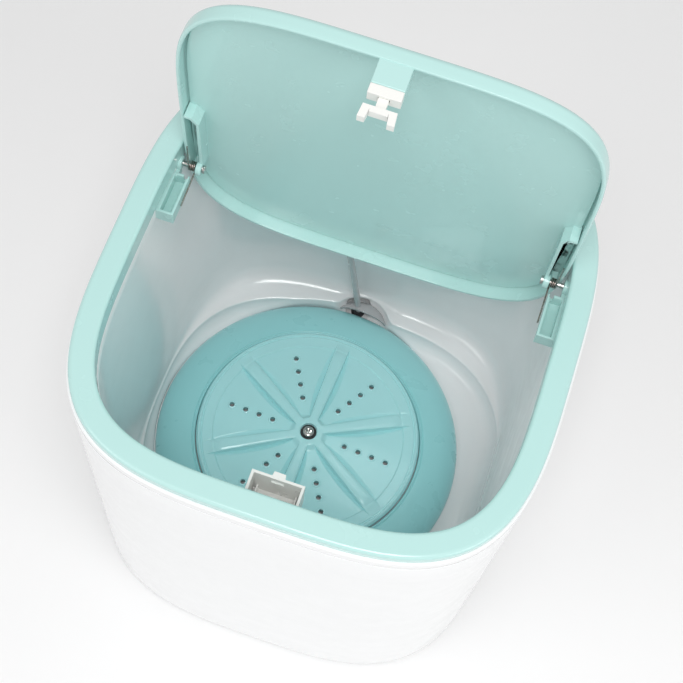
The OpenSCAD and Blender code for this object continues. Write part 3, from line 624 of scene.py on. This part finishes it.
def make_tub():
    floor, rise = TUB_FLOOR, SHELF_Z - TUB_FLOOR
    mesa = [round_ring(12, MESA_Z), round_ring(MESA_R - 2, MESA_Z), round_ring(MESA_R, MESA_Z - 1.5),
            round_ring(MESA_R, floor + 3), round_ring(MESA_R + 1.5, floor + 0.4), round_ring(MESA_R + 3, floor)]
    step = [tub_ring(-12 + 0.2, floor)]
    for i in range(1, 10):
        a = math.radians(90 * i / 9)
        step.append(tub_ring(-11 * (1 - math.sin(a)), floor + (rise - 0.7) * (1 - math.cos(a))))
    ridge = [tub_ring(0.12, SHELF_Z - 0.35), tub_ring(0.5, SHELF_Z)]
    shelf = [tub_ring(0.5 * (1 - s), SHELF_Z + rise_z, s) for s, rise_z in
             ((0.12, 0.1), (0.3, 0.5), (0.48, 1.4), (0.64, 3.2), (0.78, 6.2), (0.89, 11), (0.96, 18), (1.0, 28))]
    walls = [tub_ring(0, z, 1.0) for z in (100, 130, 160, 190, 220, 250, TUB_TOP - 0.4)]
    lip = [tub_ring(0.3, TUB_TOP, 1.0), tub_ring(TUB_WALL - 0.3, TUB_TOP, 1.0)]
    back = [tub_ring(TUB_WALL, z, 1.0) for z in (TUB_TOP - 0.6, 200, 130, SHELF_Z + 26)]
    back += [tub_ring(TUB_WALL, SHELF_Z + z, s) for z, s in ((9, 0.89), (1.2, 0.64), (-1.6, 0.3))]
    under = 0.8 + TUB_WALL
    back += [tub_ring(TUB_WALL, SHELF_Z - 3, gap=under), tub_ring(TUB_WALL - 4, floor, gap=under),
             tub_ring(TUB_WALL - 11, floor - TUB_WALL, gap=under)]
    back += [round_ring(MESA_R + 2, floor - TUB_WALL), round_ring(MESA_R - 2, floor - TUB_WALL),
             round_ring(MESA_R - 2, MESA_Z - TUB_WALL), round_ring(12, MESA_Z - TUB_WALL)]
    body = skin(mesa + step + ridge + shelf + walls + lip + back, loop=True)
    x, y = SUMP
    cup = lathe([(0, 36), (10, 36), (11, 37), (11, floor + 0.6), (0, floor + 0.6)], x, y, 64)
    hollow = lathe([(0, floor - 1.6), (8.4, floor - 1.6), (9, floor - 1), (9, SHELF_Z - 2), (0, SHELF_Z - 2)],
                   x, y, 64)
    outlet = lathe([(0, 30), (DRAIN_R, 30), (DRAIN_R, floor + 1), (0, floor + 1)], x, y, 64)
    notch = rod(110, 121, HINGE_Y, HINGE_Z, 4.6)
    body = carve(body, add=[cup], cut=[hollow, outlet, notch, mirrored(notch)])
    return piece("tub_liner", body, TUB_WHITE, "cabinet", ["tub"], sharp=50)


# ---- Rim ----

def make_rim():
    top, low = RIM_HIGH.z, SHELL_HIGH.z + 0.1

    def outer(z, inset):
        return squircle(RIM_HIGH.x - inset, RIM_HIGH.y - inset, RIM_EXPONENT, z)

    def mouth(z, out):
        return squircle(MOUTH_W + out, MOUTH_D + out, MOUTH_EXPONENT, z)

    rings = [outer(low, 0.3), outer(low + 0.3, 0)]
    rings += [outer(top - 1.9 + z, 2.4 - x) for x, z in arc(0, 0, 2.4, 1.9, 0, 90, 7)]
    rings += [outer(top, 5.5), mouth(top, 4.0)]
    rings += [mouth(top - 1.5 + z, 1.9 - x) for x, z in arc(0, 0, 1.9, 1.5, 90, 0, 6)]
    rings += [mouth(RIM_BOTTOM + 0.5, 0), mouth(RIM_BOTTOM, 0.4), mouth(RIM_BOTTOM, 1.4),
              mouth(RIM_BOTTOM + 0.4, 1.8)]
    rings += [mouth(top - 2, 1.8), outer(top - 2.4, 2.4), outer(low, 2)]
    frame_mesh = skin(rings, loop=True)
    parts = [frame_mesh]
    z0, z1 = HINGE_Z - 9.9, HINGE_Z - 0.4
    channel = box(106, 116.6, 22, 49, z0, z1)
    channel = carve(channel, cut=[box(107.5, 114.2, 23.5, 47.5, z0 + 1.5, z1 + 5),
                                  box(106.9, 109.3, 46.9, 49.5, HINGE_Z - 5, z1 + 5)])
    channel = softened(channel, 0.45, 3)
    knuckle = carve(rod(112.7, 118.2, HINGE_Y, HINGE_Z, 4.2, ease=0.4),
                    cut=[rod(111, 118.4, HINGE_Y, HINGE_Z, 1.55)])
    web = softened(box(113.0, 116.4, 47.2, HINGE_Y - 1, z0 + 2, HINGE_Z - 1.6), 0.4, 2)
    for shape in (channel, knuckle, web):
        parts += [shape, mirrored(shape)]
    return piece("rim", joined(*parts), MINT, "cabinet", ["rim_frame"], sharp=50, flat_even=True)


def make_catch():
    x, y0, y1 = 14.8, -117.4, -99.6
    top, floor, wall = 250, LID_EDGE - 37, 1.5
    mid = LATCH_Y
    shell = box(-x, x, y0, y1, floor - wall, top)
    hollow = box(-x + wall, x - wall, y0 + wall, y1 - wall, floor, top + 9)
    window = box(-3.6, 3.6, y1 - 3, y1 + 2, top - 7, top - 3)
    slit = box(-x + 0.9 + wall, -x + 1.9 + wall, mid - 3, y1 - wall - 1.5, floor - 4, floor + 2)
    catch = carve(shell, cut=[hollow, window, slit])
    striker = box(-3.2, 3.2, mid - 1.6, mid + 1.6, floor - 0.2, LID_EDGE - 29)
    tab = prism([(-3.9, y1 - wall), (3.9, y1 - wall), (3.2, y1 + 2.6), (-3.2, y1 + 2.6)], top - 2.6, top)
    ribs = [box(sx * 11 - 0.5, sx * 11 + 0.5, y0 + 1, y1 - 1, floor - 0.2, floor + 6) for sx in (-1, 1)]
    shelf = box(-x + 0.3, x - 0.3, y0 - 1, y0 + 1.8, top - 2, top + 1.2)
    catch = carve(catch, add=[striker, tab, shelf, *ribs])
    return piece("latch_catch", softened(catch, 0.5, 3), LATCH_WHITE, "cabinet", ["catch_pocket"],
                 flat_even=True)


# ---- Lid ----

def lid_ring(z, inset, scale=1.0):
    return squircle((LID_W - inset) * scale, (LID_D - inset) * scale, LID_EXPONENT, z, y=LID_Y)


def make_lid():
    roof = LID_TOP - LID_SKIN
    shrink = (0.02, 0.3, 0.6, 0.85)
    rings = [lid_ring(roof, 6, s) for s in shrink]
    rings += [lid_ring(roof - 1.2 + z, LID_SKIRT + 1.2 - x) for x, z in arc(0, 0, 1.2, 1.2, 90, 0, 4)]
    rings += [lid_ring(LID_EDGE + 0.7, LID_SKIRT), lid_ring(LID_EDGE + 0.2, LID_SKIRT - 0.2)]
    rings += [lid_ring(LID_EDGE, LID_SKIRT - 0.7), lid_ring(LID_EDGE, 0.8), lid_ring(LID_EDGE + 0.2, 0.25),
              lid_ring(LID_EDGE + 0.8, 0)]
    rings += [lid_ring(LID_EDGE + 3, 0), lid_ring(LID_EDGE + 5.4, 0)]
    round_x, round_z = 4.6, 4.2
    rings += [lid_ring(LID_TOP - round_z + z - 0.25, round_x - x) for x, z in arc(0, 0, round_x, round_z, 0, 90, 10)]
    rings += [lid_ring(LID_TOP - 0.1 * (1 - s), 8, s) for s in reversed(shrink)]
    cover = skin(rings, start=True, end=True)
    return piece("lid_shell", moved(cover, LID_POSE), MINT, "lid", ["lid_cover"], flat_even=True)


def pocket_outline(x0, x1, y0, y1, corner_front, corner_back):
    return [(x1, y0), (x0 + corner_front, y0), (x0, y0 + corner_front + 1), (x0, y1 - 2 * corner_back),
            (x0 + corner_back, y1), (x1, y1)]


def make_liner():
    plate = skin([lid_ring(LINER_Z + 1.3, LINER_INSET + 0.35), lid_ring(LINER_Z + 0.5, LINER_INSET),
                  lid_ring(LINER_Z + 0.15, LINER_INSET + 0.15), lid_ring(LINER_Z, LINER_INSET + 0.6)]
                 + [lid_ring(LINER_Z, 6, s) for s in (0.85, 0.6, 0.3, 0.02)], start=True, end=True)
    z0, z1 = LID_EDGE - 1.4, LINER_Z + 0.5
    x0, x1, wall = 101, 109.4, 1.8
    y0, y1 = 2, 63
    outer = prism(pocket_outline(x0, x1, y0, y1, 4, 3), z0, z1)
    inner = prism(pocket_outline(x0 + wall, x1 + 2, y0 + wall, y1 - wall, 3.4, 2.4), z0 - 1, z1 - 0.5)
    knuckle = rod(x0, x0 + 3.4, HINGE_Y, HINGE_Z, 4.2, ease=0.4)
    bore = rod(x0 - 1, x0 + 5, HINGE_Y, HINGE_Z, 1.55)
    pocket = carve(carve(outer, cut=[inner]), add=[knuckle], cut=[bore])
    pocket = softened(pocket, 0.45, 3)
    liner = joined(plate, pocket, mirrored(pocket))
    return piece("lid_inner_panel", moved(liner, LID_POSE), MINT, "lid", ["lid_liner"],
                 flat_even=True)


def coil_point(angle, x):
    r = 2.5
    return Vector((x, HINGE_Y - r * math.sin(angle), HINGE_Z - r * math.cos(angle)))


def make_springs():
    """Makes each torsion spring: its coil and lower leg on the body, its last turn and upper leg on the lid."""
    wire, pitch, x0, leg, body_turns, steps = 0.5, 1.04, 105, 24, 2, 32
    for side, sign in (("left", -1), ("right", 1)):
        flip = Matrix.Scale(sign, 4, (1, 0, 0))
        lower = [Vector((x0, HINGE_Y - leg * t, HINGE_Z - 2.5 - 2.6 * t)) for t in (1, 0.75, 0.5, 0.25)]
        turns = [coil_point(2 * math.pi * i / steps, x0 + pitch * i / steps)
                 for i in range(steps * body_turns + 1)]
        coil = sweep([flip @ p for p in lower + turns], wire)
        piece(f"hinge_coil_{side}", coil, SPRING, "cabinet", [f"hinge_spring_{side}"])
        last = [coil_point(2 * math.pi * i / steps, x0 + pitch * (body_turns + i / steps))
                for i in range(steps + 9)]
        end = last[-1]
        upper = [end + Vector((0, -0.6 * t, leg * t)) for t in (0.25, 0.5, 0.75, 1)]
        piece(f"hinge_leg_{side}", sweep([flip @ p for p in last + upper], wire), SPRING, "lid")


# ---- Latch ----

def make_latch():
    half, y0, y1 = 8.3, LATCH_Y0, LATCH_Y1
    low = LID_EDGE - 13
    bracket = box(-half, half, y0, y1, low, LID_EDGE + 1)
    bracket = carve(bracket, add=[box(-half, half, y0 + 2, y1, LID_EDGE, LINER_Z - 0.1)])
    bracket = carve(bracket, cut=[box(-half + 1.5, half - 1.5, y0 + 1.2, y1 - 1.2, low - 1, low + 10)])
    piece("latch_arm", moved(softened(bracket, 0.7, 4), LID_POSE), MINT, "lid", ["latch_bracket"],
          flat_even=True)

    bottom = LID_EDGE - 18.5
    w = half - 0.1
    case = box(-w, w, y0 + 0.2, y1 - 0.2, bottom, low - 0.1)
    neck = box(-w + 1.6, w - 1.6, y0 + 1.4, y1 - 1.4, low - 0.2, low + 8.8)
    notches = [box(sx * 6.6 - 0.8, sx * 6.6 + 0.8, y1 - 1.6, y1 + 1, low - 2.6, low - 1.2) for sx in (-1, 1)]
    room = box(-2.8, 2.8, LATCH_Y - 1.6, LATCH_Y + 1.6, bottom - 1, bottom + 13)
    case = carve(case, add=[neck], cut=[room, *notches])
    piece("latch_case", moved(softened(case, 0.35, 3), LID_POSE), LATCH_WHITE, "lid", ["latch_housing"],
          flat_even=True)

    top, tip = bottom - 5.4, LID_EDGE - 31
    grip, thick, prong = tip + 5.5, 4.6, 4
    outline = [(-half, top), (-half, grip + 1), (-half - 0.6, tip), (-half + prong - 1, tip), (-4.5, grip),
               (-4.5, top - 3.2), (4.5, top - 3.2), (4.5, grip), (half - prong + 1, tip), (half + 0.6, tip),
               (half, grip + 1), (half, top)]
    yoke = prism(outline, -thick / 2, thick / 2)
    yoke = moved(yoke, Matrix.Translation((0, LATCH_Y, 0)) @ Matrix.Rotation(math.radians(90), 4, "X"))
    dish = box(-5.6, 5.6, LATCH_Y + thick / 2 - 0.7, LATCH_Y + thick, top - 2.5, top - 0.8)
    shank = box(-2.5, 2.5, LATCH_Y - 1.3, LATCH_Y + 1.3, top - 1, top + 8)
    yoke = carve(yoke, add=[shank], cut=[dish])
    piece("latch_prongs", moved(softened(yoke, 0.4, 3), LID_POSE), LATCH_WHITE, "latch", ["latch_fork"],
          flat_even=True)


# ---- Pulsator ----

BAND_R = 64.8
LEAF_START, LEAF_END = 12, 69.5


def dish_height(r):
    """Height of the pulsator between its ribs."""
    z = mix(HUB_Z, DISH_Z + 0.6, smooth(HUB_R, HUB_R + 4, r))
    z -= 1.6 * max(0.0, r - HUB_R - 4) / (BAND_R - HUB_R - 4)
    z += 0.8 * smooth(BAND_R - 0.9, BAND_R, r)
    z -= 0.55 * smooth(71.2, 71.7, r) - 0.75 * smooth(72.3, 72.9, r)
    return z - 2.2 * smooth(73.6, DISC_R, r) ** 1.5


def rib_height(r):
    """Height of a rib's flat top, which meets the outer band."""
    z = mix(HUB_Z - 0.1, HUB_Z - 1.4, smooth(HUB_R, 60, r))
    return mix(z, dish_height(r), smooth(58, 70.5, r))


def pulsator_columns(r):
    """Angle from a rib's middle line, and height, of each column on one side of the rib."""
    share = min(1.0, max(0.0, (r - LEAF_START) / (LEAF_END - LEAF_START)))
    leaf = 3.9 * math.sin(math.pi * share ** 0.9) ** 0.75 if 0 < share < 1 else 0.0
    depth = 2.3 * (leaf / 3.9) * mix(1.0, 0.55, share)
    flat, shoulder = 2.3, mix(3.0, 4.6, share)
    dish, top = dish_height(r), rib_height(r)
    edge = mix(top, dish, 0.2)
    spots = [(0, top), (1.2, top), (flat, top), (mix(flat, shoulder, 0.5), mix(top, edge, 0.35)), (shoulder, edge),
             (shoulder + 0.10 * leaf + 0.01, mix(edge, dish - depth, 0.55)),
             (shoulder + 0.22 * leaf + 0.02, dish - depth),
             (shoulder + 0.55 * leaf + 0.03, dish - depth * 0.55),
             (shoulder + 0.93 * leaf + 0.04, dish - depth * 0.12), (shoulder + leaf + 0.10, dish),
             (shoulder + leaf + 0.6, dish)]
    columns = [(math.asin(u / max(r, HUB_R + 1)), z) for u, z in spots]
    last = columns[-1][0]
    half_sector = math.pi / RIBS
    columns += [(mix(last, half_sector, (i + 1) / 9), dish) for i in range(9)]
    return columns


def pulsator_ring_points(r, height=None):
    ring = []
    for rib in range(RIBS):
        middle = RIB_ANGLE + 2 * math.pi * rib / RIBS
        side = pulsator_columns(r)
        spots = [(-a, z) for a, z in reversed(side[1:-1])] + side
        for a, z in spots:
            angle = middle + a
            ring.append(Vector((AXIS_X + r * math.cos(angle), r * math.sin(angle), z if height is None else height)))
    return ring


def make_pulsator():
    bottom = DISC_LOW.z
    rows = [6.2, 8.2, 8.8, 9.4, 10, 10.8, 11.6, 12.4, 13.4, 14.6, 16]
    rows += [16 + 2.4 * (i + 1) for i in range(18)]
    rows += [60.6, 62, 63.2, 63.9, 64.2, 64.5, 64.8, 66, 67.5, 69, 70.2, 71.2, 71.4, 71.7, 72.3, 72.6, 72.9, 73.6,
             74.2, 74.7, 75.1]
    top = [pulsator_ring_points(r) for r in rows]
    under = [(DISC_R, dish_height(DISC_R) - 0.3), (DISC_R, 54.4), (DISC_R - 0.4, 54), (DISC_R - 1.7, 54),
             (DISC_R - 3, 55.6), (BAND_R, 55.6), (14, 57), (9, 57), (8, 56.6), (8, bottom), (4.02, bottom),
             (4.02, 59.4), (2.2, 59.8), (2.2, 61.6), (5.8, 61.6), (5.8, 63.6)]
    body = skin(top + [pulsator_ring_points(r, z) for r, z in under], loop=True)
    bores, collars = [], []
    for rib in range(RIBS):
        angle = HOLE_ANGLE + 2 * math.pi * rib / RIBS
        for r in HOLE_ROWS:
            x, y, z = AXIS_X + r * math.cos(angle), r * math.sin(angle), dish_height(r)
            bores.append(lathe([(0, 50), (HOLE_R, 50), (HOLE_R, 68), (0, 68)], x, y, 28))
            collars.append(lathe([(0, z - 0.6), (2.9, z - 0.6), (2.9, z + 0.1), (2.6, z + 0.38), (2.3, z + 0.45),
                                  (1.6, z + 0.45), (0, z + 0.45)], x, y, 28))
    body = carve(body, add=[joined(*collars)], cut=[joined(*bores)])
    return piece("pulsator_disc", body, AQUA, "agitator", ["pulsator"], sharp=32)


def make_ring():
    outer, foot = RING_HIGH.x - AXIS_X, RING_LOW.z
    r0 = DISC_R + 0.7
    dome_r, dome_z = r0 + 2.6, 15.6
    crown = [(dome_r + (outer - dome_r) * math.sin(a), foot + dome_z * math.cos(a) * 0.985 + 0.1)
             for a in (math.radians(90 * i / 22) for i in range(1, 22))]
    profile = [(r0, MESA_Z + 0.3), (r0, 55.0), (r0 + 0.25, 55.5), (r0 + 0.8, 55.75), (r0 + 1.4, 55.55),
               (r0 + 1.75, 55.0), (r0 + 2.1, 55.1), (r0 + 2.5, 55.6)]
    profile += crown + [(outer, foot + 0.8), (outer - 0.5, foot), (outer - 1.8, foot), (outer - 3, foot + 4),
                        (outer - 9, 47), (outer - 17, 51.4), (r0 + 4, 53), (r0 + 2, 52.6), (r0 + 2, MESA_Z + 0.3)]
    return piece("pulsator_dome_ring", lathe(profile, AXIS_X, 0, 192, loop=True), TURQUOISE, "cabinet",
                 ["pulsator_ring"], sharp=45)


def make_disc_screw():
    seat = HUB_Z - 1.6
    head = lathe([(0, seat - 14), (1.9, seat - 14), (2, seat - 13.5), (2, seat), (3.9, seat), (4, seat + 0.4),
                  (3.7, seat + 1.2), (2.9, seat + 1.75), (1.6, seat + 1.95), (0, seat + 2)], AXIS_X, 0, 64)
    slots = [moved(box(-2.1, 2.1, -0.42, 0.42, seat + 0.7, seat + 3), Matrix.Translation((AXIS_X, 0, 0))
                   @ Matrix.Rotation(math.radians(a), 4, "Z")) for a in (20, 110)]
    core = lathe([(0, seat + 0.3), (0.8, seat + 0.7), (1.1, seat + 3), (0, seat + 3)], AXIS_X, 0, 24)
    head = carve(head, cut=[*slots, core])
    piece("pulsator_fixing_screw", head, CHROME, "agitator", ["pulsator_screw"], sharp=30)
    low = HUB_Z - 2.4
    washer = lathe(ring_profile(2.3, 5.4, low, low + 0.8, 0.2), AXIS_X, 0, 64, loop=True)
    piece("pulsator_sealing_washer", washer, RUBBER, "agitator", ["pulsator_washer"])


# ---- Drain and rear fittings ----

def make_rear():
    button = rear_lathe(BUTTON_X, REAR_Z, [(0, -1.0), (2.6, -1.05), (4.8, -1.35), (5.9, -1.6), (6.6, -1.5),
                                           (6.95, -1.0),
                                     (7, -0.4), (7, 4), (8.2, 4), (8.2, 5.2), (0, 5.2)])
    piece("power_push_button", button, MINT, "button", ["power_button"])
    lip = rear_face(INLET_X) - span("dc_inlet")[1].y
    inlet = rear_lathe(INLET_X, REAR_Z, [(0, 9), (3.1, 9), (3.1, lip + 0.2), (3.4, lip), (5.6, lip), (6.1, lip + 0.3),
                                     (6.2, lip + 1.6), (5, lip + 1.6), (5, 14), (0, 14)])
    pin = rear_lathe(INLET_X, REAR_Z, [(0, 0.9), (0.7, 1), (1, 1.4), (1, 9.2), (0, 9.2)])
    piece("power_inlet", joined(inlet, pin), DARK, "cabinet", ["dc_inlet"])
    lens = rear_lathe(LIGHT_X, REAR_Z, [(0, -0.4), (0.8, -0.36), (1.4, -0.2), (1.8, 0.1), (1.9, 0.5), (1.9, 8),
                                        (0, 8)])
    piece("status_light", lens, LENS, "cabinet", ["status_lens"])


def set_material(material, *names):
    """Gives carried-over CAD nodes their finish."""
    for name in names:
        obj = nodes[name]
        obj.data.materials.clear()
        obj.data.materials.append(material)


def finish_frame_nodes():
    set_material(CLEAR, "drain_stopper", "lift_rod", "rod_pull")
    set_material(LATCH_WHITE, "rod_guide", "bearing_housing", "drain_elbow")
    set_material(CHROME, "hinge_pin_left", "hinge_pin_right", "drive_shaft", "motor_shaft")
    set_material(ZINC, "base_screws", "motor_screws", "housing_screws", "motor_bracket", "motor_body",
                 "upper_bearing", "lower_bearing")
    set_material(RUBBER, "tub_gasket", "drive_belt", "shaft_seal", "drain_plug", "elbow_gasket")
    set_material(DARK, "driven_pulley", "motor_pulley", "board_parts", "button_switch")
    set_material(SPRING, "latch_spring", "button_spring")
    set_material(BOARD, "control_board")
    set_material(BRASS, "board_screws")


# ---- Floor, light and camera ----

def make_floor():
    half = 3.0
    mesh = bpy.data.meshes.new("floor")
    mesh.from_pydata([(-half, -half, 0), (half, -half, 0), (half, half, 0), (-half, half, 0)], [], [(0, 1, 2, 3)])
    floor = bpy.data.objects.new("floor", mesh)
    bpy.context.scene.collection.objects.link(floor)
    floor.data.materials.append(plastic("floor_white", (0.93, 0.93, 0.93), rough=0.7, variation=0.002, grain=0.02,
                                        coat=0.0))


def area_light(name, place, target, size, power, colour=(1, 1, 1)):
    light = bpy.data.lights.new(name, "AREA")
    light.shape = "RECTANGLE"
    light.size, light.size_y = size
    light.energy = power
    light.color = colour
    obj = bpy.data.objects.new(name, light)
    bpy.context.scene.collection.objects.link(obj)
    obj.location = place
    obj.rotation_mode = "QUATERNION"
    obj.rotation_quaternion = (Vector(target) - Vector(place)).to_track_quat("-Z", "Y")
    return obj


def make_lights():
    world = bpy.data.worlds.new("studio")
    world.use_nodes = True
    background = world.node_tree.nodes["Background"]
    background.inputs["Color"].default_value = (1, 1, 1, 1)
    background.inputs["Strength"].default_value = 0.55
    bpy.context.scene.world = world
    middle = (0, 0, 0.15)
    area_light("key", (-0.9, -0.9, 1.5), middle, (0.8, 0.8), 4)
    area_light("overhead", (0.12, -0.5, 1.6), (0, 0, 0.05), (0.5, 0.5), 8)
    area_light("front", (0.2, -1.6, 0.9), middle, (1.6, 0.8), 1)
    area_light("lid_side", (0.9, -0.5, 0.8), (0, 0.1, 0.35), (0.6, 0.6), 2.5)
    bpy.context.scene.view_settings.view_transform = "Standard"


def make_camera():
    azimuth, elevation, roll = (math.radians(a) for a in (9.91, 65.29, 9.33))
    target, distance = Vector((0.0021, 0.0094, 0.1984)), 0.8415
    back = Vector((math.sin(azimuth) * math.cos(elevation), -math.cos(azimuth) * math.cos(elevation),
                   math.sin(elevation)))
    level = Vector((math.cos(azimuth), math.sin(azimuth), 0))
    rise = back.cross(level)
    right = level * math.cos(roll) + rise * math.sin(roll)
    up = rise * math.cos(roll) - level * math.sin(roll)
    data = bpy.data.cameras.new("camera")
    data.lens = 75.44
    data.sensor_width = 36
    camera = bpy.data.objects.new("camera", data)
    bpy.context.scene.collection.objects.link(camera)
    camera.matrix_world = Matrix.Translation(target + back * distance) @ Matrix(
        (right, up, back)).transposed().to_4x4()
    bpy.context.scene.camera = camera


make_camera()
make_shell()
make_base()
make_feet()
make_tub()
make_rim()
make_catch()
make_lid()
make_liner()
make_springs()
make_latch()
make_pulsator()
make_ring()
make_disc_screw()
make_rear()
finish_frame_nodes()
make_floor()
make_lights()
